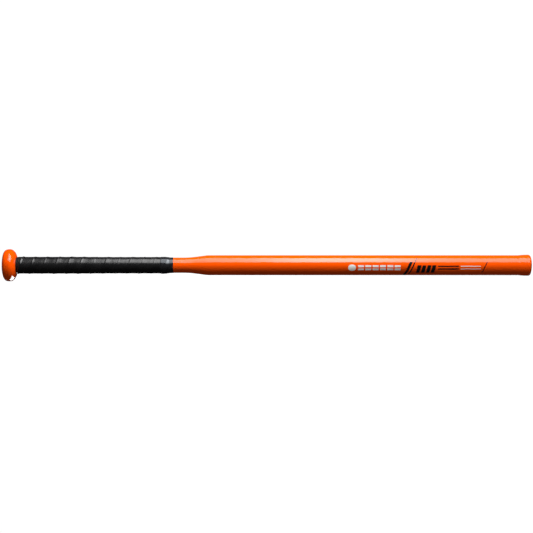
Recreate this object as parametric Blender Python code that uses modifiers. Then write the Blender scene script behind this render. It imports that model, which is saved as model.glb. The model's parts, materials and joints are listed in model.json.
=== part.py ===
"""A thin-barrel contact trainer bat, for baseball and softball batting practice.

One drawn aluminium tube is swaged down to a handle at one end and stays a slim
barrel at the other. A round knob is welded to the handle end, and a crowned plug
is bonded into the barrel end. A self-adhesive underlay and a padded tape wrap
cover the handle, with a ring of finishing tape at the end of the wrap.

Every part is turned about the bat's own axis, so each one is a profile of
(station, radius) points and a Screw modifier. A station is the distance from the
face of the knob. The bat lies along +X, with the knob's face at the origin.
"""

import math

import bpy

# Driving dimensions, in metres.
BAT_LENGTH = 0.838
BARREL_RADIUS = 0.0158
BARREL_WALL = 0.0030
HANDLE_RADIUS = 0.0121
HANDLE_WALL = 0.0033

KNOB_RADIUS = 0.0255
KNOB_LENGTH = 0.0206
KNOB_CREST = 0.0105  # station of the knob's widest point
KNOB_FACE_RADIUS = 0.0120  # the flat on the end of the knob
KNOB_RIM_POWER = 3.0  # above 2, the rim between the flat and the crest is squarer than an ellipse
KNOB_FRONT_LENGTH = 0.0104  # semi-axes of the slope behind the fingers
KNOB_FRONT_HEIGHT = 0.0154
KNOB_SPIGOT_LENGTH = 0.018

TAPER_START = 0.2867  # station where the handle begins to swell
TAPER_FILLET = 0.0175  # length of the curve at the handle end of the taper
TAPER_SLOPE = 0.1275  # rise of the cone's side per unit of length
SHOULDER_BLEND = 0.004  # length of the curve at the barrel end of the taper

CAP_HEAD_LENGTH = 0.0200
CAP_CROWN_RADIUS = 0.0167
CAP_CORNER_RADIUS = 0.0038
CAP_SPIGOT_LENGTH = 0.025
CAP_BORE_RADIUS = 0.0085
CAP_END_THICKNESS = 0.008
CAP_GROOVE_LENGTH = 0.012
CAP_GROOVE_DEPTH = 0.0011

WELD_LEG = 0.0025  # size of the bevel on the tube that the weld fills
WELD_CROWN = 0.0003

UNDERLAY_THICKNESS = 0.00015
GRIP_RADIUS = 0.01340
GRIP_END = 0.2634
GRIP_EDGE_ROUND = 0.0007
TAPE_WIDTH = 0.0205
TAPE_THICKNESS = 0.00020
TAPE_ON_TUBE = 0.0070  # how much of the finishing tape lies on the bare tube

GAP = 0.0003  # between faces that touch on the real bat
TAPE_GAP = 0.0001  # between layers of tape, whose facets are parallel
SEGMENTS = 48
KNOB_STEPS = 14
CORNER_STEPS = 8
SOFT_EDGE_STEPS = 4
CORNER_ANGLE = math.radians(30)

# Stations that follow from the dimensions above.
TUBE_START = KNOB_LENGTH + GAP
CAP_SEAM = BAT_LENGTH - CAP_HEAD_LENGTH
TUBE_END = CAP_SEAM - GAP
BARREL_BORE = BARREL_RADIUS - BARREL_WALL
HANDLE_BORE = HANDLE_RADIUS - HANDLE_WALL

# Colours are linear RGB, then roughness and metallic.
MATERIALS = {
    "orange_paint": ((0.90, 0.115, 0.004), 0.15, 0.0),
    "bare_weld": ((0.55, 0.55, 0.56), 0.45, 1.0),
    "grip_polyurethane": ((0.018, 0.018, 0.019), 0.50, 0.0),
    "underlay_adhesive": ((0.62, 0.60, 0.52), 0.70, 0.0),
    "vinyl_tape": ((0.012, 0.012, 0.013), 0.30, 0.0),
    "cured_urethane": ((0.45, 0.33, 0.14), 0.35, 0.0),
}


def clear_scene():
    for obj in list(bpy.data.objects):
        bpy.data.objects.remove(obj, do_unlink=True)


def make_materials():
    made = {}
    for name, (colour, roughness, metallic) in MATERIALS.items():
        material = bpy.data.materials.new(name)
        material.use_nodes = True
        shader = material.node_tree.nodes["Principled BSDF"]
        shader.inputs["Base Color"].default_value = (*colour, 1.0)
        shader.inputs["Roughness"].default_value = roughness
        shader.inputs["Metallic"].default_value = metallic
        made[name] = material
    return made


def arc(station, radius, half_length, half_height, start, end, steps, power=2.0):
    """Points of an ellipse's arc. 0 degrees points along the bat, and 90 away from its axis.

    A power above 2 gives a squarer curve, with the same semi-axes.
    """
    points = []
    for i in range(steps + 1):
        angle = math.radians(start + (end - start) * i / steps)
        along, away = (math.copysign(abs(v) ** (2 / power), v) for v in (math.cos(angle), math.sin(angle)))
        points.append((station + half_length * along, radius + half_height * away))
    return points


def taper(handle_radius, barrel_radius, steps=6):
    """The swell from handle to barrel: a long fillet, a straight cone and a short shoulder."""
    fillet_rise = TAPER_SLOPE * TAPER_FILLET / 2
    shoulder_rise = TAPER_SLOPE * SHOULDER_BLEND / 2
    cone_length = (barrel_radius - handle_radius - fillet_rise - shoulder_rise) / TAPER_SLOPE
    shoulder_start = TAPER_START + TAPER_FILLET + cone_length
    points = []
    for i in range(steps + 1):
        t = i / steps
        points.append((TAPER_START + TAPER_FILLET * t, handle_radius + fillet_rise * t * t))
    for i in range(steps + 1):
        t = i / steps
        rise = shoulder_rise * (1 - (1 - t) ** 2)
        points.append((shoulder_start + SHOULDER_BLEND * t, barrel_radius - shoulder_rise + rise))
    return points


def turned(name, profile, material, parent, ring=False):
    """A part turned about the bat's axis.

    The profile runs from the barrel side of the part to the knob side along its
    outside. A ring's profile is closed and clear of the axis, and any other
    profile starts and ends on the axis.
    """
    vertices = [(radius, 0.0, station) for station, radius in profile]
    edges = [(i, i + 1) for i in range(len(vertices) - 1)]
    if ring:
        edges.append((len(vertices) - 1, 0))
    mesh = bpy.data.meshes.new(name)
    mesh.from_pydata(vertices, edges, [])
    obj = bpy.data.objects.new(name, mesh)
    collection.objects.link(obj)
    obj.parent = parent

    screw = obj.modifiers.new("turn", "SCREW")
    screw.axis = "Z"
    screw.steps = SEGMENTS
    screw.render_steps = SEGMENTS
    screw.use_merge_vertices = True
    screw.merge_threshold = 0.00001
    screw.use_smooth_shade = True

    graph = bpy.context.evaluated_depsgraph_get()
    solid = bpy.data.meshes.new_from_object(obj.evaluated_get(graph))
    obj.modifiers.clear()
    obj.data = solid
    solid.name = name
    solid.shade_smooth()
    solid.set_sharp_from_angle(angle=CORNER_ANGLE)
    solid.materials.append(material)
    return obj


def tube_profile():
    """The tube's section: down its outside from the barrel end, a weld bevel, and back up its bore."""
    outside = [(TUBE_END, BARREL_RADIUS)]
    outside += reversed(taper(HANDLE_RADIUS, BARREL_RADIUS))
    outside += [
        (TUBE_START + WELD_LEG, HANDLE_RADIUS),
        (TUBE_START, HANDLE_RADIUS - WELD_LEG),
        (TUBE_START, HANDLE_BORE),
    ]
    bore = taper(HANDLE_BORE, BARREL_BORE)
    bore.append((TUBE_END, BARREL_BORE))
    return outside + bore


def knob_profile():
    """The knob's section: its spigot, the slope behind the fingers, the crest and the flat face."""
    spigot_radius = HANDLE_BORE - GAP
    spigot_end = KNOB_LENGTH + KNOB_SPIGOT_LENGTH
    chamfer = 0.001
    neck_angle = math.degrees(math.acos((KNOB_LENGTH - KNOB_CREST) / KNOB_FRONT_LENGTH))
    spigot = [
        (spigot_end, 0.0),
        (spigot_end, spigot_radius - chamfer),
        (spigot_end - chamfer, spigot_radius),
        (KNOB_LENGTH, spigot_radius),
    ]
    front = arc(
        KNOB_CREST,
        KNOB_RADIUS - KNOB_FRONT_HEIGHT,
        KNOB_FRONT_LENGTH,
        KNOB_FRONT_HEIGHT,
        neck_angle,
        90,
        KNOB_STEPS,
    )
    back = arc(
        KNOB_CREST,
        KNOB_FACE_RADIUS,
        KNOB_CREST,
        KNOB_RADIUS - KNOB_FACE_RADIUS,
        90,
        180,
        KNOB_STEPS,
        KNOB_RIM_POWER,
    )
    return spigot + front + back[1:] + [(0.0, 0.0)]


def weld_profile():
    """The bead that fills the bevel between the tube and the knob, with a low crown."""
    inner = HANDLE_RADIUS - WELD_LEG + GAP * math.sqrt(2)
    start = TUBE_START
    rim = HANDLE_RADIUS + WELD_CROWN / 2
    width = rim - inner
    return [
        (start + width, rim),
        (start + width / 2, HANDLE_RADIUS + WELD_CROWN),
        (start, rim),
        (start, inner),
    ]


def cap_profile():
    """The barrel plug: a flat end, rounded corner, crowned head, and a cup-shaped spigot with a glue groove."""
    spigot_radius = BARREL_BORE - GAP
    spigot_start = CAP_SEAM - CAP_SPIGOT_LENGTH
    groove_end = CAP_SEAM - (CAP_SPIGOT_LENGTH - CAP_GROOVE_LENGTH) / 2
    groove_start = groove_end - CAP_GROOVE_LENGTH
    groove_radius = spigot_radius - CAP_GROOVE_DEPTH
    corner = arc(
        BAT_LENGTH - CAP_CORNER_RADIUS,
        CAP_CROWN_RADIUS - CAP_CORNER_RADIUS,
        CAP_CORNER_RADIUS,
        CAP_CORNER_RADIUS,
        0,
        90,
        CORNER_STEPS,
    )
    crown_station = corner[-1][0]
    swell = []
    swell_steps = 6
    for i in range(1, swell_steps + 1):
        t = i / swell_steps
        station = crown_station + (CAP_SEAM - crown_station) * t
        swell.append((station, CAP_CROWN_RADIUS - (CAP_CROWN_RADIUS - BARREL_RADIUS) * t * t))
    spigot = [
        (CAP_SEAM, spigot_radius),
        (groove_end, spigot_radius),
        (groove_end, groove_radius),
        (groove_start, groove_radius),
        (groove_start, spigot_radius),
        (spigot_start, spigot_radius),
    ]
    bore = [
        (spigot_start, CAP_BORE_RADIUS),
        (BAT_LENGTH - CAP_END_THICKNESS, CAP_BORE_RADIUS),
        (BAT_LENGTH - CAP_END_THICKNESS, 0.0),
    ]
    return [(BAT_LENGTH, 0.0)] + corner + swell + spigot + bore


def bond_profile():
    """The ring of cured adhesive that fills the cap's groove and grips the barrel's bore."""
    clearance = GAP / 2
    outer = BARREL_BORE - clearance
    inner = BARREL_BORE - GAP - CAP_GROOVE_DEPTH + clearance
    end = CAP_SEAM - (CAP_SPIGOT_LENGTH - CAP_GROOVE_LENGTH) / 2 - GAP
    start = end - CAP_GROOVE_LENGTH + 2 * GAP
    return [(end, outer), (start, outer), (start, inner), (end, inner)]


def underlay_profile():
    """The double-sided adhesive strip, laid flat on the handle under the wrap."""
    inner = HANDLE_RADIUS + TAPE_GAP
    outer = inner + UNDERLAY_THICKNESS
    start = TUBE_START + WELD_LEG + 2 * GAP
    end = GRIP_END - GAP
    return [(end, outer), (start, outer), (start, inner), (end, inner)]


def grip_profile():
    """The padded wrap as one sleeve with soft ends, opened at the knob to clear the weld."""
    inner = HANDLE_RADIUS + 2 * TAPE_GAP + UNDERLAY_THICKNESS
    start = KNOB_LENGTH + GAP
    weld_clear = HANDLE_RADIUS + WELD_CROWN + GAP
    weld_room_end = TUBE_START + WELD_LEG + GAP
    soft = GRIP_EDGE_ROUND
    barrel_edge = arc(GRIP_END - soft, GRIP_RADIUS - soft, soft, soft, 0, 90, SOFT_EDGE_STEPS)
    knob_edge = arc(start + soft, GRIP_RADIUS - soft, soft, soft, 90, 180, SOFT_EDGE_STEPS)
    inside = [
        (start, weld_clear),
        (weld_room_end, weld_clear),
        (weld_room_end, inner),
        (GRIP_END, inner),
    ]
    return barrel_edge + knob_edge + inside


def finish_tape_profile():
    """Finishing tape that holds the end of the wrap and steps down on to the bare tube."""
    end = GRIP_END + TAPE_ON_TUBE
    start = end - TAPE_WIDTH
    on_tube = HANDLE_RADIUS + TAPE_GAP
    on_grip = GRIP_RADIUS + TAPE_GAP
    step_start = GRIP_END
    step_end = GRIP_END + 2 * GRIP_EDGE_ROUND
    outside = [
        (end, on_tube + TAPE_THICKNESS),
        (step_end + TAPE_THICKNESS, on_tube + TAPE_THICKNESS),
        (step_start + TAPE_THICKNESS, on_grip + TAPE_THICKNESS),
        (start, on_grip + TAPE_THICKNESS),
    ]
    inside = [(start, on_grip), (step_start, on_grip), (step_end, on_tube), (end, on_tube)]
    return outside + inside


clear_scene()
collection = bpy.data.collections.new("contact_trainer_bat")
bpy.context.scene.collection.children.link(collection)
materials = make_materials()

# The parts are turned about the empty's Z axis, and the empty lays that axis along +X.
bat_axis = bpy.data.objects.new("bat_axis", None)
bat_axis.rotation_euler = (0.0, math.radians(90), 0.0)
collection.objects.link(bat_axis)

turned("bat_tube", tube_profile(), materials["orange_paint"], bat_axis, ring=True)
turned("knob", knob_profile(), materials["orange_paint"], bat_axis)
turned("knob_weld_bead", weld_profile(), materials["bare_weld"], bat_axis, ring=True)
turned("end_cap", cap_profile(), materials["orange_paint"], bat_axis)
turned("end_cap_bond", bond_profile(), materials["cured_urethane"], bat_axis, ring=True)
turned("grip_underlay", underlay_profile(), materials["underlay_adhesive"], bat_axis, ring=True)
turned("grip_wrap", grip_profile(), materials["grip_polyurethane"], bat_axis, ring=True)
turned("finish_tape", finish_tape_profile(), materials["vinyl_tape"], bat_axis, ring=True)
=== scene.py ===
"""The looks of a thin-barrel contact trainer bat.

The bat lies along +X with its knob's face at the origin, +Z up, and its printed
marks on the -Y side. Gloss orange paint covers the knob, tube and barrel end. A
padded tape is wound on the handle, layer over layer, and vinyl tape holds its end.
Lengths are in metres and, unless a name says otherwise, angles are in degrees.
"""

import json
import math

import bpy
import numpy as np
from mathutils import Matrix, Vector, noise

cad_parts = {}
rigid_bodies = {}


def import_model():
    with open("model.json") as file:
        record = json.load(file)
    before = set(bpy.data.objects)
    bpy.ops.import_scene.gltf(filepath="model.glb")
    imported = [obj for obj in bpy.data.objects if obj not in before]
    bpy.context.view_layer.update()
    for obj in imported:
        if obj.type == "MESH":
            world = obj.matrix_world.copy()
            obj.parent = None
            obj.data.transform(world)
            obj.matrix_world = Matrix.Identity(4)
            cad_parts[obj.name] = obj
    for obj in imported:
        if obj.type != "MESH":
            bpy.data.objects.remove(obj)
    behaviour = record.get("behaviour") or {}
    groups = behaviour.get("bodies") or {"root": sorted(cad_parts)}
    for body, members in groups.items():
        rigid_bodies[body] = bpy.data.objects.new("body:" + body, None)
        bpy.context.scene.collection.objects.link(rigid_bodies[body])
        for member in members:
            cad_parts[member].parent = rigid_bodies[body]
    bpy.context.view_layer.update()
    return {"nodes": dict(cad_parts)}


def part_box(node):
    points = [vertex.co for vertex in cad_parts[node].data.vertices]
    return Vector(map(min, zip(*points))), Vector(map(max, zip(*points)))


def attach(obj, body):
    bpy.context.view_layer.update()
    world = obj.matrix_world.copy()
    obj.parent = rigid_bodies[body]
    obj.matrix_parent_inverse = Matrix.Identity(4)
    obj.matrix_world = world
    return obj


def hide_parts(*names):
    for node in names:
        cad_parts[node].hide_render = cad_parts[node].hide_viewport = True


MM = 0.001

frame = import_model()

# Places and sizes that the frame gives.
KNOB_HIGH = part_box("knob")[1]
TUBE_LOW, TUBE_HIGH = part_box("bat_tube")
CAP_LOW, CAP_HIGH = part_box("end_cap")
WRAP_LOW, WRAP_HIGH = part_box("grip_wrap")
TAPE_LOW, TAPE_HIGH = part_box("finish_tape")
UNDERLAY_LOW, UNDERLAY_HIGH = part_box("grip_underlay")

BAT_LENGTH = CAP_HIGH.x
BARREL_RADIUS = TUBE_HIGH.z
KNOB_RADIUS = KNOB_HIGH.z
CROWN_RADIUS = CAP_HIGH.z
GAP = 0.3 * MM  # what the CAD leaves between faces that touch

# The bat's own design sizes, the same as the CAD's.
HANDLE_RADIUS = 12.1 * MM
BARREL_WALL = 3.0 * MM
HANDLE_WALL = 3.3 * MM
TAPER_START = 286.7 * MM
TAPER_FILLET = 17.5 * MM
TAPER_SLOPE = 0.1275
SHOULDER_BLEND = 4.0 * MM
KNOB_LENGTH = TUBE_LOW.x - GAP
KNOB_CREST = 10.5 * MM
KNOB_FACE_RADIUS = 12.0 * MM
KNOB_RIM_POWER = 3.0
KNOB_FRONT_LENGTH = 10.4 * MM
KNOB_FRONT_HEIGHT = 15.4 * MM
CAP_SEAM = TUBE_HIGH.x + GAP
CAP_CORNER_RADIUS = 3.8 * MM
SEGMENTS = 160
KNOB_STEPS = 48
CORNER_ANGLE = math.radians(30)


# ---------------------------------------------------------------- materials


def math_node(tree, operation, first, second=0.0):
    """A Math node on two values, each of them a number or another node's output."""
    node = tree.nodes.new("ShaderNodeMath")
    node.operation = operation
    for socket, value in zip(node.inputs, (first, second)):
        if isinstance(value, (int, float)):
            socket.default_value = value
        else:
            tree.links.new(value, socket)
    return node.outputs["Value"]


class Nodes:
    """A material's node tree, with short calls to add nodes and join them."""

    def __init__(self, name):
        self.material = bpy.data.materials.new(name)
        self.material.use_nodes = True
        self.tree = self.material.node_tree
        self.shader = self.tree.nodes["Principled BSDF"]
        self.place = self.add("ShaderNodeTexCoord").outputs["Object"]

    def add(self, kind, **settings):
        node = self.tree.nodes.new(kind)
        for key, value in settings.items():
            setattr(node, key, value)
        return node

    def join(self, output, target):
        self.tree.links.new(output, target)

    def set(self, **values):
        """Sets the shader's own sockets. An underscore stands for a space in a socket's name."""
        for key, value in values.items():
            self.shader.inputs[key.replace("_", " ")].default_value = value

    def noise(self, scale, detail=2.0, roughness=0.5, stretch=(1, 1, 1)):
        mapping = self.add("ShaderNodeMapping")
        mapping.inputs["Scale"].default_value = stretch
        self.join(self.place, mapping.inputs["Vector"])
        texture = self.add("ShaderNodeTexNoise")
        texture.inputs["Scale"].default_value = scale
        texture.inputs["Detail"].default_value = detail
        texture.inputs["Roughness"].default_value = roughness
        self.join(mapping.outputs["Vector"], texture.inputs["Vector"])
        return texture.outputs["Fac"]

    def cells(self, scale):
        """The distance to the nearest edge between cells."""
        texture = self.add("ShaderNodeTexVoronoi", feature="DISTANCE_TO_EDGE")
        texture.inputs["Scale"].default_value = scale
        self.join(self.place, texture.inputs["Vector"])
        return texture.outputs["Distance"]

    def spread(self, value, low, high, start=0.0, end=1.0):
        """Maps a value from start..end to low..high."""
        node = self.add("ShaderNodeMapRange")
        for key, number in zip(("From Min", "From Max", "To Min", "To Max"), (start, end, low, high)):
            node.inputs[key].default_value = number
        self.join(value, node.inputs["Value"])
        return node.outputs["Result"]

    def blend(self, factor, first, second):
        """A colour between two, by a factor from a texture."""
        node = self.add("ShaderNodeMix", data_type="RGBA")
        self.join(factor, node.inputs["Factor"])
        for key, value in (("A", first), ("B", second)):
            socket = [s for s in node.inputs if s.name == key and s.type == "RGBA"][0]
            if isinstance(value, tuple):
                socket.default_value = (*value, 1.0)
            else:
                self.join(value, socket)
        return [s for s in node.outputs if s.type == "RGBA"][0]

    def bump(self, height, strength, distance, after=None):
        node = self.add("ShaderNodeBump")
        node.inputs["Strength"].default_value = strength
        node.inputs["Distance"].default_value = distance
        self.join(height, node.inputs["Height"])
        if after is not None:
            self.join(after, node.inputs["Normal"])
        return node.outputs["Normal"]


def gloss_paint(name, colour, coat_roughness=0.03, haze=0.0):
    """Sprayed enamel under a clear coat: slight colour drift, orange peel, and faint handling marks."""
    n = Nodes(name)
    n.set(Coat_Weight=1.0, Coat_Roughness=coat_roughness, Coat_IOR=1.5)
    n.set(Specular_IOR_Level=0.0)
    deeper = tuple(c * 0.96 for c in colour)
    drift = n.spread(n.noise(scale=9, detail=3), 0, 1, start=0.35, end=0.65)
    n.join(n.blend(drift, colour, deeper), n.shader.inputs["Base Color"])
    marks = n.noise(scale=60, detail=4, roughness=0.6)
    n.join(n.spread(marks, 0.26 + haze, 0.36 + haze, start=0.4, end=0.65), n.shader.inputs["Roughness"])
    peel = n.bump(n.noise(scale=420, detail=1.5), strength=0.06, distance=0.02 * MM)
    n.join(peel, n.shader.inputs["Normal"])
    n.join(peel, n.shader.inputs["Coat Normal"])
    return n.material


def wrap_polyurethane():
    """Black synthetic leather: fine pebbled grain, faint stretch lines, and a worn satin top."""
    n = Nodes("grip_polyurethane")
    n.set(IOR=1.6)
    worn = n.spread(n.noise(scale=70, detail=4, roughness=0.6), 0, 1, start=0.42, end=0.66)
    base = n.blend(worn, (0.006, 0.006, 0.0065), (0.010, 0.010, 0.0105))
    n.join(base, n.shader.inputs["Base Color"])
    satin = n.spread(n.noise(scale=160, detail=3), 0.22, 0.31, start=0.35, end=0.68)
    n.join(satin, n.shader.inputs["Roughness"])
    pebbles = n.spread(n.cells(scale=1500), 0, 1, start=0.0, end=0.25)
    grain = n.bump(pebbles, strength=0.20, distance=0.04 * MM)
    lines = n.noise(scale=260, detail=3, roughness=0.6, stretch=(0.35, 1, 1))
    n.join(n.bump(lines, strength=0.25, distance=0.10 * MM, after=grain), n.shader.inputs["Normal"])
    return n.material


def vinyl():
    """Glossy black finishing tape, a little uneven where it is pulled tight."""
    n = Nodes("vinyl_tape")
    n.set(IOR=1.55, Specular_Tint=(0.86, 0.93, 1.0, 1.0))
    dust = n.spread(n.noise(scale=220, detail=3, roughness=0.6), 0, 1, start=0.5, end=0.72)
    n.join(n.blend(dust, (0.011, 0.011, 0.013), (0.020, 0.020, 0.022)), n.shader.inputs["Base Color"])
    shine = n.spread(n.noise(scale=140, detail=2), 0.16, 0.26, start=0.35, end=0.65)
    n.join(shine, n.shader.inputs["Roughness"])
    pulled = n.noise(scale=120, detail=2, stretch=(1, 0.5, 0.5))
    n.join(n.bump(pulled, strength=0.3, distance=0.1 * MM), n.shader.inputs["Normal"])
    return n.material


def ink(name, colour, rubbed):
    """Screen-printed ink under the clear coat, with a slight unevenness of cover."""
    n = Nodes(name)
    n.set(Coat_Weight=1.0, Coat_Roughness=0.045, Coat_IOR=1.5, Roughness=0.45, Specular_IOR_Level=0.0)
    cover = n.spread(n.noise(scale=900, detail=2), 0, 1, start=0.45, end=0.75)
    n.join(n.blend(cover, colour, rubbed), n.shader.inputs["Base Color"])
    return n.material


def weld_metal():
    """The weld's bare aluminium, with the ripples of its puddle."""
    n = Nodes("weld_metal")
    n.set(Metallic=1.0)
    stains = n.noise(scale=300, detail=3)
    n.join(n.blend(stains, (0.50, 0.50, 0.52), (0.64, 0.64, 0.65)), n.shader.inputs["Base Color"])
    n.join(n.spread(n.noise(scale=500, detail=2), 0.32, 0.55), n.shader.inputs["Roughness"])
    ripples = n.noise(scale=700, detail=2)
    n.join(n.bump(ripples, strength=0.5, distance=0.15 * MM), n.shader.inputs["Normal"])
    return n.material


def soft_filler(name, first, second, roughness, scale):
    """Cured adhesive, as in the cap's bond and on the underlay."""
    n = Nodes(name)
    n.join(n.blend(n.noise(scale, detail=3), first, second), n.shader.inputs["Base Color"])
    uneven = 0.08
    patches = n.noise(scale * 2, detail=2)
    n.join(n.spread(patches, roughness - uneven, roughness + uneven), n.shader.inputs["Roughness"])
    lumps = n.noise(scale * 4, detail=2)
    n.join(n.bump(lumps, strength=0.3, distance=0.1 * MM), n.shader.inputs["Normal"])
    return n.material


# ------------------------------------------------------------ turned pieces


def arc(station, radius, half_length, half_height, start, end, steps, power=2.0):
    """Points of an ellipse's arc. 0 degrees points along the bat, and 90 away from its axis.

    A power above 2 gives a squarer curve, with the same semi-axes.
    """
    points = []
    for i in range(steps + 1):
        angle = math.radians(start + (end - start) * i / steps)
        along, away = (math.copysign(abs(v) ** (2 / power), v) for v in (math.cos(angle), math.sin(angle)))
        points.append((station + half_length * along, radius + half_height * away))
    return points


def mesh_object(name, vertices, faces, material, sharp=CORNER_ANGLE):
    mesh = bpy.data.meshes.new(name)
    mesh.from_pydata(vertices, [], faces)
    mesh.validate()
    mesh.shade_smooth()
    mesh.set_sharp_from_angle(angle=sharp)
    mesh.materials.append(material)
    obj = bpy.data.objects.new(name, mesh)
    bpy.context.scene.collection.objects.link(obj)
    return obj


def supported(profile):
    """The profile with a point close to both ends of each long straight, so that its shading stays flat."""
    near = 0.4 * MM
    points = [profile[0]]
    for first, second in zip(profile, profile[1:]):
        length = math.dist(first, second)
        if length > 4 * near:
            for part in (near / length, 1 - near / length):
                points.append(tuple(a + (b - a) * part for a, b in zip(first, second)))
        points.append(second)
    return points


def turned(name, profile, material, ring=False):
    """A closed solid turned about the X axis.

    The profile of (station, radius) points runs from the barrel side to the knob
    side along its outside. A ring's profile is closed and clear of the axis.
    """
    profile = supported(profile)
    solid_points = profile if ring else profile[1:-1]
    rings = []
    vertices = []
    for station, radius in solid_points:
        rings.append(len(vertices))
        for i in range(SEGMENTS):
            angle = math.tau * i / SEGMENTS
            vertices.append((station, -radius * math.cos(angle), radius * math.sin(angle)))
    pairs = list(zip(rings, rings[1:]))
    if ring:
        pairs.append((rings[-1], rings[0]))
    faces = []
    for near, far in pairs:
        for i in range(SEGMENTS):
            j = (i + 1) % SEGMENTS
            faces.append((near + i, near + j, far + j, far + i))
    if not ring:
        for point, start, outward in ((profile[0], rings[0], 1), (profile[-1], rings[-1], -1)):
            vertices.append((point[0], 0.0, 0.0))
            centre = len(vertices) - 1
            for i in range(SEGMENTS):
                j = (i + 1) % SEGMENTS
                faces.append((centre, start + j, start + i)[::outward])
    return mesh_object(name, vertices, faces, material)


def taper(handle_radius, barrel_radius, steps=14):
    """The swell from handle to barrel: a long fillet, a straight cone and a short shoulder."""
    fillet_rise = TAPER_SLOPE * TAPER_FILLET / 2
    shoulder_rise = TAPER_SLOPE * SHOULDER_BLEND / 2
    cone_length = (barrel_radius - handle_radius - fillet_rise - shoulder_rise) / TAPER_SLOPE
    shoulder_start = TAPER_START + TAPER_FILLET + cone_length
    points = []
    for i in range(steps + 1):
        t = i / steps
        points.append((TAPER_START + TAPER_FILLET * t, handle_radius + fillet_rise * t * t))
    for i in range(steps + 1):
        t = i / steps
        rise = shoulder_rise * (1 - (1 - t) ** 2)
        points.append((shoulder_start + SHOULDER_BLEND * t, barrel_radius - shoulder_rise + rise))
    return points


def painted_tube(paint):
    lip = 0.25 * MM
    end = TUBE_HIGH.x
    handle_end = TUBE_LOW.x
    bevel = 2.5 * MM
    outside = arc(end - lip, BARREL_RADIUS - lip, lip, lip, 0, 90, 4)
    outside += reversed(taper(HANDLE_RADIUS, BARREL_RADIUS))
    outside += [
        (handle_end + bevel, HANDLE_RADIUS),
        (handle_end, HANDLE_RADIUS - bevel),
        (handle_end, HANDLE_RADIUS - HANDLE_WALL),
    ]
    bore = taper(HANDLE_RADIUS - HANDLE_WALL, BARREL_RADIUS - BARREL_WALL)
    bore.append((end, BARREL_RADIUS - BARREL_WALL))
    return turned("painted_tube", outside + bore, paint, ring=True)


def painted_knob(paint):
    spigot_radius = HANDLE_RADIUS - HANDLE_WALL - GAP
    chamfer = 1.0 * MM
    neck_angle = math.degrees(math.acos((KNOB_LENGTH - KNOB_CREST) / KNOB_FRONT_LENGTH))
    spigot = [
        (KNOB_HIGH.x, 0.0),
        (KNOB_HIGH.x, spigot_radius - chamfer),
        (KNOB_HIGH.x - chamfer, spigot_radius),
        (KNOB_LENGTH, spigot_radius),
    ]
    front = arc(
        KNOB_CREST,
        KNOB_RADIUS - KNOB_FRONT_HEIGHT,
        KNOB_FRONT_LENGTH,
        KNOB_FRONT_HEIGHT,
        neck_angle,
        90,
        KNOB_STEPS,
    )
    back = arc(
        KNOB_CREST,
        KNOB_FACE_RADIUS,
        KNOB_CREST,
        KNOB_RADIUS - KNOB_FACE_RADIUS,
        90,
        180,
        KNOB_STEPS,
        KNOB_RIM_POWER,
    )
    return turned("painted_knob", spigot + front + back[1:] + [(0.0, 0.0)], paint)


def painted_cap(paint):
    """The closed barrel end: flat face, rounded corner, crown that flares a little, and the spigot inside."""
    spigot_radius = BARREL_RADIUS - BARREL_WALL - GAP
    bore_radius = 8.5 * MM
    end_thickness = 8.0 * MM
    bore_end = BAT_LENGTH - end_thickness
    lip = 0.25 * MM
    corner = arc(
        BAT_LENGTH - CAP_CORNER_RADIUS,
        CROWN_RADIUS - CAP_CORNER_RADIUS,
        CAP_CORNER_RADIUS,
        CAP_CORNER_RADIUS,
        0,
        90,
        20,
    )
    crown = corner[-1][0]
    seam = CAP_SEAM + lip
    swell = []
    steps = 16
    for i in range(1, steps + 1):
        t = i / steps
        swell.append((crown + (seam - crown) * t, CROWN_RADIUS - (CROWN_RADIUS - BARREL_RADIUS) * t * t))
    edge = arc(seam, BARREL_RADIUS - lip, lip, lip, 90, 180, 4)[1:]
    inside = [
        (CAP_SEAM, spigot_radius),
        (CAP_LOW.x, spigot_radius),
        (CAP_LOW.x, bore_radius),
        (bore_end, bore_radius),
        (bore_end, 0.0),
    ]
    return turned("painted_end_cap", [(BAT_LENGTH, 0.0)] + corner + swell + edge + inside, paint)


def seam_paint(paint):
    """Paint that has bridged the joint between barrel and cap, leaving a hairline groove."""
    sunk = 0.10 * MM
    bite = 0.1 * MM
    depth = 1.0 * MM
    end = CAP_SEAM + bite
    start = TUBE_HIGH.x - bite
    top = BARREL_RADIUS - sunk
    bottom = top - depth
    profile = [(end, top), (start, top), (start, bottom), (end, bottom)]
    return turned("cap_seam_paint", profile, paint, ring=True)


# -------------------------------------------------------------- wound tapes

STEPS_PER_TURN = 100
CELL = 0.25 * MM
LAYER_CLEARANCE = 0.015 * MM


class HandleSurface:
    """How far out the surface of the handle has grown, at each station and angle, as tape is wound on it."""

    def __init__(self, start, end):
        self.stations = np.arange(start, end, CELL)
        self.radii = np.full((STEPS_PER_TURN, len(self.stations)), HANDLE_RADIUS)
        under = (self.stations > UNDERLAY_LOW.x) & (self.stations < UNDERLAY_HIGH.x)
        self.radii[:, under] = UNDERLAY_HIGH.z

    def under(self, angle_index, stations, bridging):
        """The radius that a layer lies on. A stiff tape bridges hollows shorter than its bridging length."""
        row = self.radii[angle_index]
        reach = max(1, int(bridging / CELL))
        kernel = np.hanning(2 * reach + 3)[1:-1]
        kernel /= kernel.sum()
        padded = np.concatenate([np.full(reach, row[0]), row, np.full(reach, row[-1])])
        smooth = np.maximum(np.convolve(padded, kernel, "valid"), row)
        return np.interp(stations, self.stations, smooth) + LAYER_CLEARANCE

    def cover(self, angle_index, stations, radii):
        inside = (self.stations >= stations[0]) & (self.stations <= stations[-1])
        self.radii[angle_index, inside] = np.interp(self.stations[inside], stations, radii)


def smoothstep(x):
    x = np.clip(x, 0.0, 1.0)
    return x * x * (3 - 2 * x)


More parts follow.
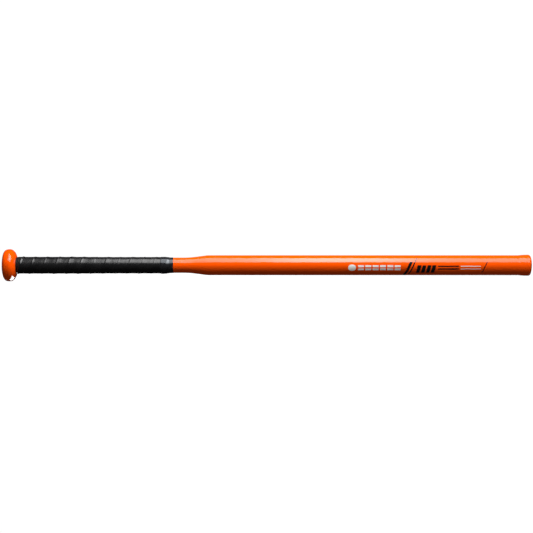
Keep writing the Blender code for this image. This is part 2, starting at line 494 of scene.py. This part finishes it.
def wind(name, surface, material, first_turn, last_turn, edges, thickness, columns, bridging, relief=None):
    """One closed strip of tape, wound on the surface.

    A turn's number counts from the side that faces -Y, and turns go up over the
    top. edges(turn) gives the stations of the strip's two edges, thickness(turn,
    from_low, from_high) its depth at distances from them, and relief(turn,
    station, from_low) the unevenness of its outer side.
    """
    spacing = (1 - np.cos(np.linspace(0, math.pi, columns))) / 2
    spacing = 0.5 * spacing + 0.5 * np.linspace(0, 1, columns)
    rows = []
    first, last = (round(turn * STEPS_PER_TURN) for turn in (first_turn, last_turn))
    for step in range(first, last + 1):
        turn = step / STEPS_PER_TURN
        low, high = edges(turn)
        stations = low + (high - low) * spacing
        inner = surface.under(step % STEPS_PER_TURN, stations, bridging)
        outer = inner + thickness(turn, stations - low, high - stations)
        if relief is not None:
            outer = outer + relief(turn, stations, stations - low)
        surface.cover(step % STEPS_PER_TURN, stations, outer)
        angle = math.tau * turn
        loop = list(zip(stations, outer)) + list(zip(stations[::-1], inner[::-1]))
        rows.append([(s, -r * math.cos(angle), r * math.sin(angle)) for s, r in loop])
    width = len(rows[0])
    vertices = [point for row in rows for point in row]
    faces = []
    for i in range(len(rows) - 1):
        for j in range(width):
            k = (j + 1) % width
            faces.append((i * width + j, i * width + k, (i + 1) * width + k, (i + 1) * width + j))
    for i, order in ((0, -1), (len(rows) - 1, 1)):
        for j in range(columns - 1):
            quad = (i * width + j, i * width + j + 1, i * width + width - 2 - j, i * width + width - 1 - j)
            faces.append(quad[::order])
    return mesh_object(name, vertices, faces, material, sharp=math.radians(50))


WRAP_START = WRAP_LOW.x + 0.1 * MM
WRAP_END = WRAP_HIGH.x - 0.1 * MM
FIRST_SEAM = 25.4 * MM  # where the wrap's edge first crosses the side that faces -Y
WRAP_PITCH = 19.3 * MM
WRAP_WIDTH = 26.0 * MM
SLIMMEST = 1.2 * MM  # the wrap's cut ends


def wander(turn, seed):
    """A smooth random number from about -1 to 1, which changes along the strip."""
    return noise.noise(Vector((turn, seed, 0.5 * seed)))


def wrap_edges(turn):
    """The wrap runs as a helix, and its ends are trimmed square with the knob and with the finishing tape."""
    helix = FIRST_SEAM + WRAP_PITCH * (turn - 1)
    low = helix + 1.6 * MM * wander(turn * 0.8, seed=3.1)
    high = helix + WRAP_WIDTH + 1.2 * MM * wander(turn * 0.9, seed=7.7)
    low = min(max(low, WRAP_START), WRAP_END - SLIMMEST)
    high = max(min(high, WRAP_END), WRAP_START + SLIMMEST)
    return low, high


def wrap_thickness(turn, from_low, from_high):
    """The hidden edge is pared thin, and the outer one rises over it in a low rolled rim.

    The tape is pulled tighter towards the barrel, so it is thinner there and its
    rim is lower. The rim grows in during the first turn and is highest on it.
    """
    pulled = smoothstep((turn - 4.5) / 4.0)
    first = 1 - smoothstep((turn - 1.1) / 0.8)
    begun = smoothstep((turn - 0.4) / 0.3)
    full = (1.02 - 0.30 * pulled) * MM
    hidden_edge = 0.08 * MM
    overlap = WRAP_WIDTH - WRAP_PITCH
    fall = hidden_edge + (full - hidden_edge) * smoothstep(from_high / overlap)
    covered = hidden_edge + (full - hidden_edge) * smoothstep(1 - from_low / overlap)

    rim_size = begun * (1.0 + 0.9 * first - 0.4 * pulled + 0.35 * wander(turn * 2.3, seed=5.2))
    rim_edge = 0.14 * MM
    rim_crest = 0.32 * MM
    up = smoothstep(from_low / (1.7 * MM))
    down = smoothstep((from_low - 1.5 * MM) / (2.8 * MM))
    rim = rim_edge + rim_crest * up - (rim_edge + rim_crest) * down
    rise = full - covered * begun + rim * rim_size
    tallest = full + 0.5 * MM
    return np.where(from_low < from_high, np.minimum(rise, tallest), fall)


def on_handle(station, turn):
    """The point at this station and turn, out at the wrap's radius."""
    angle = math.tau * turn
    return Vector((station, -WRAP_HIGH.z * math.cos(angle), WRAP_HIGH.z * math.sin(angle)))


def wrap_relief(turn, stations, from_low):
    """Padding that is never quite even, and puckers that fade away from the outer edge."""
    values = []
    for station, distance in zip(stations, from_low):
        place = on_handle(station, turn) / (7.0 * MM)
        swell = 0.06 * noise.noise(place) + 0.025 * noise.noise(place * 2.7)
        fading = math.exp(-distance / (7 * MM))
        pucker = 0.10 * noise.noise(Vector((turn * 11.0, distance / (6.0 * MM), 2.0))) * fading
        values.append((swell + pucker) * MM)
    return np.array(values)


def grip_wrap(surface, material):
    first_turn = 1 - (FIRST_SEAM - WRAP_START + WRAP_WIDTH - SLIMMEST) / WRAP_PITCH
    last_turn = 1 + (WRAP_END - SLIMMEST - FIRST_SEAM) / WRAP_PITCH
    return wind(
        "wound_grip_wrap",
        surface,
        material,
        first_turn,
        last_turn,
        wrap_edges,
        wrap_thickness,
        columns=24,
        bridging=1.0 * MM,
        relief=wrap_relief,
    )


TAPE_FIRST_TURN = 0.45
TAPE_LAST_TURN = 2.75
TAPE_DRIFT = 0.5 * MM  # how far the tape strays to each side as it goes round
TAPE_DEPTH = 0.13 * MM


def tape_edges(turn):
    drift = TAPE_DRIFT * math.sin(turn * 1.9)
    return TAPE_LOW.x + TAPE_DRIFT + drift, TAPE_HIGH.x - TAPE_DRIFT + drift


def tape_thickness(turn, from_low, from_high):
    return np.full(len(from_low), TAPE_DEPTH)


def tape_relief(turn, stations, from_low):
    """The slight ripple of tape that is pulled over padding."""
    ripple = 0.03 * MM
    return np.array([ripple * noise.noise(on_handle(station * 2, turn) / (6.0 * MM)) for station in stations])


def finish_tape(surface, material):
    return wind(
        "wound_finish_tape",
        surface,
        material,
        TAPE_FIRST_TURN,
        TAPE_LAST_TURN,
        tape_edges,
        tape_thickness,
        columns=40,
        bridging=1.6 * MM,
        relief=tape_relief,
    )


# ------------------------------------------------------------ printed marks

PRINT_LIFT = 0.02 * MM
PRINT_DEPTH = 0.02 * MM
PRINT_ANGLE = -15.0  # the line that the marks are centred on, up from the -Y side


def printed(name, shapes, material):
    """Thin prints on the barrel, each with rows of (arc height, left station, right station)."""
    vertices, faces = [], []
    for rows in shapes:
        start = len(vertices)
        for radius in (BARREL_RADIUS + PRINT_LIFT + PRINT_DEPTH, BARREL_RADIUS + PRINT_LIFT):
            for height, left, right in rows:
                angle = math.radians(PRINT_ANGLE) + height / BARREL_RADIUS
                for station in (left, right):
                    vertices.append((station, -radius * math.cos(angle), radius * math.sin(angle)))
        count = len(rows)
        under = 2 * count
        for i in range(count - 1):
            a, b, c, d = (start + 2 * i + k for k in (0, 1, 3, 2))
            faces.append((a, b, c, d))
            faces.append((d + under, c + under, b + under, a + under))
            faces.append((b, b + under, c + under, c))
            faces.append((d, d + under, a + under, a))
        a, b = start, start + 1
        faces.append((b, a, a + under, b + under))
        a, b = start + 2 * (count - 1), start + 2 * (count - 1) + 1
        faces.append((a, b, b + under, a + under))
    return mesh_object(name, vertices, faces, material)


def bar(left, right, low, high, lean=0.0, steps=6):
    """A block or bar, which moves right by lean for each unit of height."""
    rows = []
    for i in range(steps + 1):
        height = low + (high - low) * i / steps
        rows.append((height, left + lean * height, right + lean * height))
    return rows


def pill(left, right, height, steps=14):
    """A bar with round ends."""
    radius = height / 2
    rows = []
    for i in range(steps + 1):
        y = -radius + height * (0.002 + 0.996 * i / steps)
        inset = radius - math.sqrt(radius * radius - y * y)
        rows.append((y, left + inset, right - inset))
    return rows


def prints(black, white):
    """Plain bars and blocks, laid out where a bat of this kind has its marks."""
    white_shapes = [pill(547.3 * MM, 559.7 * MM, height=10.4 * MM)]
    block_width = 9.3 * MM
    for i in range(6):
        left = (562.9 + 11.6 * i) * MM
        for low, high in ((-4.2, -1.0), (1.0, 4.2)):
            white_shapes.append(bar(left, left + block_width, low * MM, high * MM))
    printed("print_white_row", white_shapes, white)

    lean = 0.44
    stripes = [
        bar(640.6 * MM, 645.2 * MM, low=-16.0 * MM, high=10.0 * MM, lean=lean, steps=36),
        bar(647.9 * MM, 650.0 * MM, low=-13.5 * MM, high=17.0 * MM, lean=lean, steps=36),
    ]
    printed("print_black_stripes", stripes, black)

    blocks = []
    dark_width = 5.7 * MM
    for i in range(4):
        left = (656.6 + 7.8 * i) * MM
        blocks.append(bar(left, left + dark_width, low=-9.2 * MM, high=4.1 * MM, lean=0.22, steps=12))
    printed("print_black_blocks", blocks, black)

    dark_lines = [bar(689.5 * MM, 722.3 * MM, low * MM, (low + 2.0) * MM) for low in (-2.9, 1.5)]
    printed("print_black_lines", dark_lines, black)

    light_lines = [bar(725.2 * MM, 756.6 * MM, low * MM, (low + 1.2) * MM) for low in (-2.5, 1.9)]
    printed("print_white_lines", light_lines, white)

    thin_stripe = bar(762.2 * MM, 763.8 * MM, low=-8.6 * MM, high=9.9 * MM, lean=lean, steps=24)
    printed("print_thin_stripe", [thin_stripe], black)


# ----------------------------------------------------------- studio, camera

MIDDLE = 418.3 * MM  # the station that the camera and the lights face
CAMERA_DISTANCE = 2.1
CAMERA_LENS = 89.11  # in millimetres, on a 36 mm sensor
CAMERA_DROP = 2.0 * MM
AMBIENT = 0.12
MIRRORED_AMBIENT = 0.015
SOFT_DISTANCE = 2.0
SOFT_EDGES = (40, 95)  # elevations of the soft strips' lower and upper edges
FLOOR_RADIUS = 9.0
DOME_RADIUS = 9.5


def emitter_material(name, strength):
    """Plain white light."""
    material = bpy.data.materials.new(name)
    material.use_nodes = True
    tree = material.node_tree
    tree.nodes.clear()
    out = tree.nodes.new("ShaderNodeOutputMaterial")
    emission = tree.nodes.new("ShaderNodeEmission")
    emission.inputs["Strength"].default_value = strength
    tree.links.new(emission.outputs["Emission"], out.inputs["Surface"])
    return material


def hot_spot(tree, along, place, width, strength):
    """Light that is strongest at one place along the bat and falls off over this width to both sides."""
    offset = math_node(tree, "ABSOLUTE", math_node(tree, "SUBTRACT", along, place))
    fall = math_node(tree, "POWER", math_node(tree, "DIVIDE", offset, width), 3.0)
    share = math_node(tree, "EXPONENT", math_node(tree, "MULTIPLY", fall, -1.0))
    return math_node(tree, "MULTIPLY", share, strength)


def gleam_material():
    """The light that the gloss mirrors: even along the bat, with a hot spot, and dim beside the handle."""
    material = emitter_material("gleam_light", 1.0)
    tree = material.node_tree
    coordinates = tree.nodes.new("ShaderNodeTexCoord")
    split = tree.nodes.new("ShaderNodeSeparateXYZ")
    tree.links.new(coordinates.outputs["Object"], split.inputs["Vector"])
    along = math_node(tree, "SUBTRACT", split.outputs["X"], MIDDLE)
    even = tree.nodes.new("ShaderNodeMapRange")
    even.interpolation_type = "SMOOTHSTEP"
    for key, value in (("From Min", -0.47), ("From Max", -0.27), ("To Min", 0.2), ("To Max", 4.3)):
        even.inputs[key].default_value = value
    tree.links.new(along, even.inputs["Value"])
    over_barrel = hot_spot(tree, along, place=0.16, width=0.17, strength=6.4)
    total = math_node(tree, "ADD", over_barrel, even.outputs["Result"])
    tree.links.new(total, tree.nodes["Emission"].inputs["Strength"])
    return material


def card(name, corners, material, diffuse=True, glossy=True):
    """A flat light with these corners. The camera doesn't see it, and it casts no shadow."""
    mesh = bpy.data.meshes.new(name)
    mesh.from_pydata(corners, [], [tuple(range(len(corners)))])
    mesh.materials.append(material)
    obj = bpy.data.objects.new(name, mesh)
    bpy.context.scene.collection.objects.link(obj)
    obj.visible_camera = False
    obj.visible_shadow = False
    obj.visible_diffuse = diffuse
    obj.visible_glossy = glossy
    return obj


def link_light(light, piece, state):
    """Keeps a light on this piece only (INCLUDE), or off it (EXCLUDE)."""
    receivers = bpy.data.collections.new(light.name + "_receivers")
    receivers.objects.link(piece)
    receivers.collection_objects[0].light_linking.link_state = state
    light.light_linking.receiver_collection = receivers


def above(distance, station, elevation, middle):
    """A point of a plane that lies this far from the bat's axis, square to the elevation called middle.

    0 degrees is the -Y side, 90 straight above and 180 the +Y side.
    """
    centre = math.radians(middle)
    offset = distance * math.tan(math.radians(elevation - middle))
    y = -distance * math.cos(centre) + offset * math.sin(centre)
    z = distance * math.sin(centre) + offset * math.cos(centre)
    return (station, y, z)


def strip_light(name, distance, ends, edges, material, top_lean=0.0, **seen):
    """A light along the bat, between two ends measured from MIDDLE and two edges at these elevations.

    Its upper edge can lean, higher at the knob's side.
    """
    low, high = edges
    middle = (low + high) / 2
    left, right = (MIDDLE + end for end in ends)
    corners = [
        above(distance, left, low, middle),
        above(distance, right, low, middle),
        above(distance, right, high - top_lean, middle),
        above(distance, left, high + top_lean, middle),
    ]
    return card(name, corners, material, **seen)


def knob_lights(knob):
    """The knob's own soft strip and fill, and a white card below and behind it, which its gloss mirrors."""
    soft_strip = strip_light(
        "knob_soft_strip",
        distance=SOFT_DISTANCE,
        ends=(0.0, 1.2),
        edges=SOFT_EDGES,
        material=emitter_material("knob_soft_light", 16.0),
        glossy=False,
    )
    link_light(soft_strip, knob, "INCLUDE")

    left, right = 0.1, 0.45
    low, high = -15, 30
    corners = ((left, low), (right, low), (right, high), (left, high))
    fill = [above(0.5, station, elevation, middle=8) for station, elevation in corners]
    fill_light = card("knob_fill_light", fill, emitter_material("knob_fill_light", 0.35), glossy=False)
    link_light(fill_light, knob, "INCLUDE")

    height = -0.5
    patch = [(0.57, 0.23, height), (0.62, 1.30, height), (0.02, 0.60, height), (-0.02, 0.24, height)]
    patch_light = card("knob_patch_light", patch, emitter_material("knob_patch_light", 14.0), diffuse=False)
    link_light(patch_light, knob, "INCLUDE")


def end_light():
    """A card past the barrel end and behind the bat, which lights the flat of the end."""
    side = MIDDLE + 2.0
    near, far = 0.8, 3
    height = 1.8
    corners = [(side, near, 0), (side, near, height), (side, far, height), (side, far, 0)]
    card("end_light", corners, emitter_material("end_light", 1.5), glossy=False)


def studio_air():
    """Dim light from all round, dimmer still where gloss mirrors it."""
    world = bpy.data.worlds.new("studio_air")
    bpy.context.scene.world = world
    world.use_nodes = True
    tree = world.node_tree
    background = tree.nodes["Background"]
    background.inputs["Color"].default_value = (1, 1, 1, 1)
    path = tree.nodes.new("ShaderNodeLightPath")
    strength = tree.nodes.new("ShaderNodeMapRange")
    strength.inputs["To Min"].default_value = AMBIENT
    strength.inputs["To Max"].default_value = MIRRORED_AMBIENT
    tree.links.new(path.outputs["Is Glossy Ray"], strength.inputs["Value"])
    tree.links.new(strength.outputs["Result"], background.inputs["Strength"])


def studio():
    """One long light, as a mirrored strip and a soft one, with a dim one behind and cards for both ends."""
    knob = bpy.data.objects["painted_knob"]
    strip_light(
        "gleam_strip",
        distance=0.8,
        ends=(-0.6, 1.0),
        edges=(34.5, 88),
        material=gleam_material(),
        top_lean=6,
        diffuse=False,
    )
    soft_strip = strip_light(
        "soft_strip",
        distance=SOFT_DISTANCE,
        ends=(-0.62, 0.6),
        edges=SOFT_EDGES,
        material=emitter_material("soft_light", 15.5),
        glossy=False,
    )
    link_light(soft_strip, knob, "EXCLUDE")
    strip_light(
        "back_strip",
        distance=3.0,
        ends=(-1.6, 1.6),
        edges=(150, 177),
        material=emitter_material("back_light", 2.0),
        glossy=False,
    )
    end_light()
    knob_lights(knob)
    studio_air()


def floor_material():
    """A pale floor that glows, a little less close to the bat, so that only soft shadows show on it."""
    n = Nodes("pale_floor")
    n.set(Roughness=0.9, Specular_IOR_Level=0.0)
    n.shader.inputs["Base Color"].default_value = (0.12, 0.12, 0.12, 1)
    n.shader.inputs["Emission Color"].default_value = (1, 1, 1, 1)
    split = n.add("ShaderNodeSeparateXYZ")
    n.join(n.place, split.inputs["Vector"])
    from_middle = math_node(n.tree, "ABSOLUTE", split.outputs["X"])
    past_bat = math_node(n.tree, "SUBTRACT", from_middle, BAT_LENGTH / 2)
    x = math_node(n.tree, "MAXIMUM", past_bat, 0.0)
    y = split.outputs["Y"]
    squares = [math_node(n.tree, "MULTIPLY", value, value) for value in (x, y)]
    distance = math_node(n.tree, "SQRT", math_node(n.tree, "ADD", *squares))
    n.join(n.spread(distance, 0.78, 1.02, start=0.15, end=1.0), n.shader.inputs["Emission Strength"])
    return n.material


def disc(name, radius, centre, material, segments=96):
    vertices = [
        (radius * math.cos(math.tau * i / segments), radius * math.sin(math.tau * i / segments), 0.0)
        for i in range(segments)
    ]
    mesh = bpy.data.meshes.new(name)
    mesh.from_pydata(vertices, [], [tuple(range(segments))])
    mesh.materials.append(material)
    obj = bpy.data.objects.new(name, mesh)
    bpy.context.scene.collection.objects.link(obj)
    obj.location = centre
    return obj


def hide_from_bounces(obj):
    """Rays that bounce pass through it, so that it doesn't light the bat or show in its gloss."""
    obj.visible_diffuse = False
    obj.visible_glossy = False
    obj.visible_transmission = False


def stage_set():
    """A floor that touches the knob and the flared barrel end, inside a large white dome."""
    crown_station = BAT_LENGTH - CAP_CORNER_RADIUS
    slope = (KNOB_RADIUS - CROWN_RADIUS) / (crown_station - KNOB_CREST)
    middle = BAT_LENGTH / 2
    height = -KNOB_RADIUS + slope * (middle - KNOB_CREST)
    floor = disc("floor", FLOOR_RADIUS, (middle, 0, height), floor_material())
    floor.rotation_euler = (0, -math.atan(slope), 0)
    hide_from_bounces(floor)

    bpy.ops.mesh.primitive_uv_sphere_add(segments=48, ring_count=24, radius=DOME_RADIUS)
    dome = bpy.context.object
    dome.location = (middle, 0, 0)
    dome.name = "backdrop_dome"
    dome.data.materials.append(emitter_material("backdrop_white", 1.02))
    hide_from_bounces(dome)
    dome.visible_shadow = False


def camera():
    data = bpy.data.cameras.new("camera")
    data.sensor_width = 36
    data.lens = CAMERA_LENS
    data.clip_end = 50
    obj = bpy.data.objects.new("camera", data)
    obj.location = (MIDDLE, -CAMERA_DISTANCE, -CAMERA_DROP)
    obj.rotation_euler = (math.radians(90), 0, 0)
    bpy.context.scene.collection.objects.link(obj)
    bpy.context.scene.camera = obj


# ------------------------------------------------------------------ the bat


def stand_for(piece, slot, *nodes):
    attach(piece, "root")
    if nodes:
        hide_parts(*nodes)


def build():
    orange = (0.92, 0.081, 0.0006)
    paint = gloss_paint("orange_paint", orange)
    cap_paint = gloss_paint("orange_paint_cap", orange, coat_roughness=0.09, haze=0.05)
    black_ink = ink("ink_black", (0.006, 0.006, 0.007), (0.011, 0.010, 0.010))
    white_ink = ink("ink_white", (0.82, 0.81, 0.79), (0.74, 0.70, 0.66))

    stand_for(painted_tube(paint), "orange_paint", "bat_tube")
    stand_for(painted_knob(paint), "orange_paint", "knob")
    stand_for(painted_cap(cap_paint), "orange_paint", "end_cap")
    stand_for(seam_paint(paint), "orange_paint")

    surface = HandleSurface(WRAP_START - 2 * MM, TAPE_HIGH.x + 4 * MM)
    stand_for(grip_wrap(surface, wrap_polyurethane()), "grip_polyurethane", "grip_wrap")
    stand_for(finish_tape(surface, vinyl()), "vinyl_tape", "finish_tape")

    before = set(bpy.data.objects)
    prints(black_ink, white_ink)
    for piece in sorted(set(bpy.data.objects) - before, key=lambda o: o.name):
        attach(piece, "root")

    hidden = {
        "knob_weld_bead": weld_metal(),
        "end_cap_bond": soft_filler(
            "cured_urethane",
            (0.42, 0.30, 0.12),
            (0.50, 0.37, 0.17),
            roughness=0.35,
            scale=220,
        ),
        "grip_underlay": soft_filler(
            "underlay_adhesive",
            (0.58, 0.56, 0.48),
            (0.66, 0.64, 0.56),
            roughness=0.70,
            scale=400,
        ),
    }
    for node, material in hidden.items():
        frame["nodes"][node].material_slots[0].material = material


bpy.context.scene.view_settings.view_transform = "Standard"
camera()
build()
studio()
stage_set()
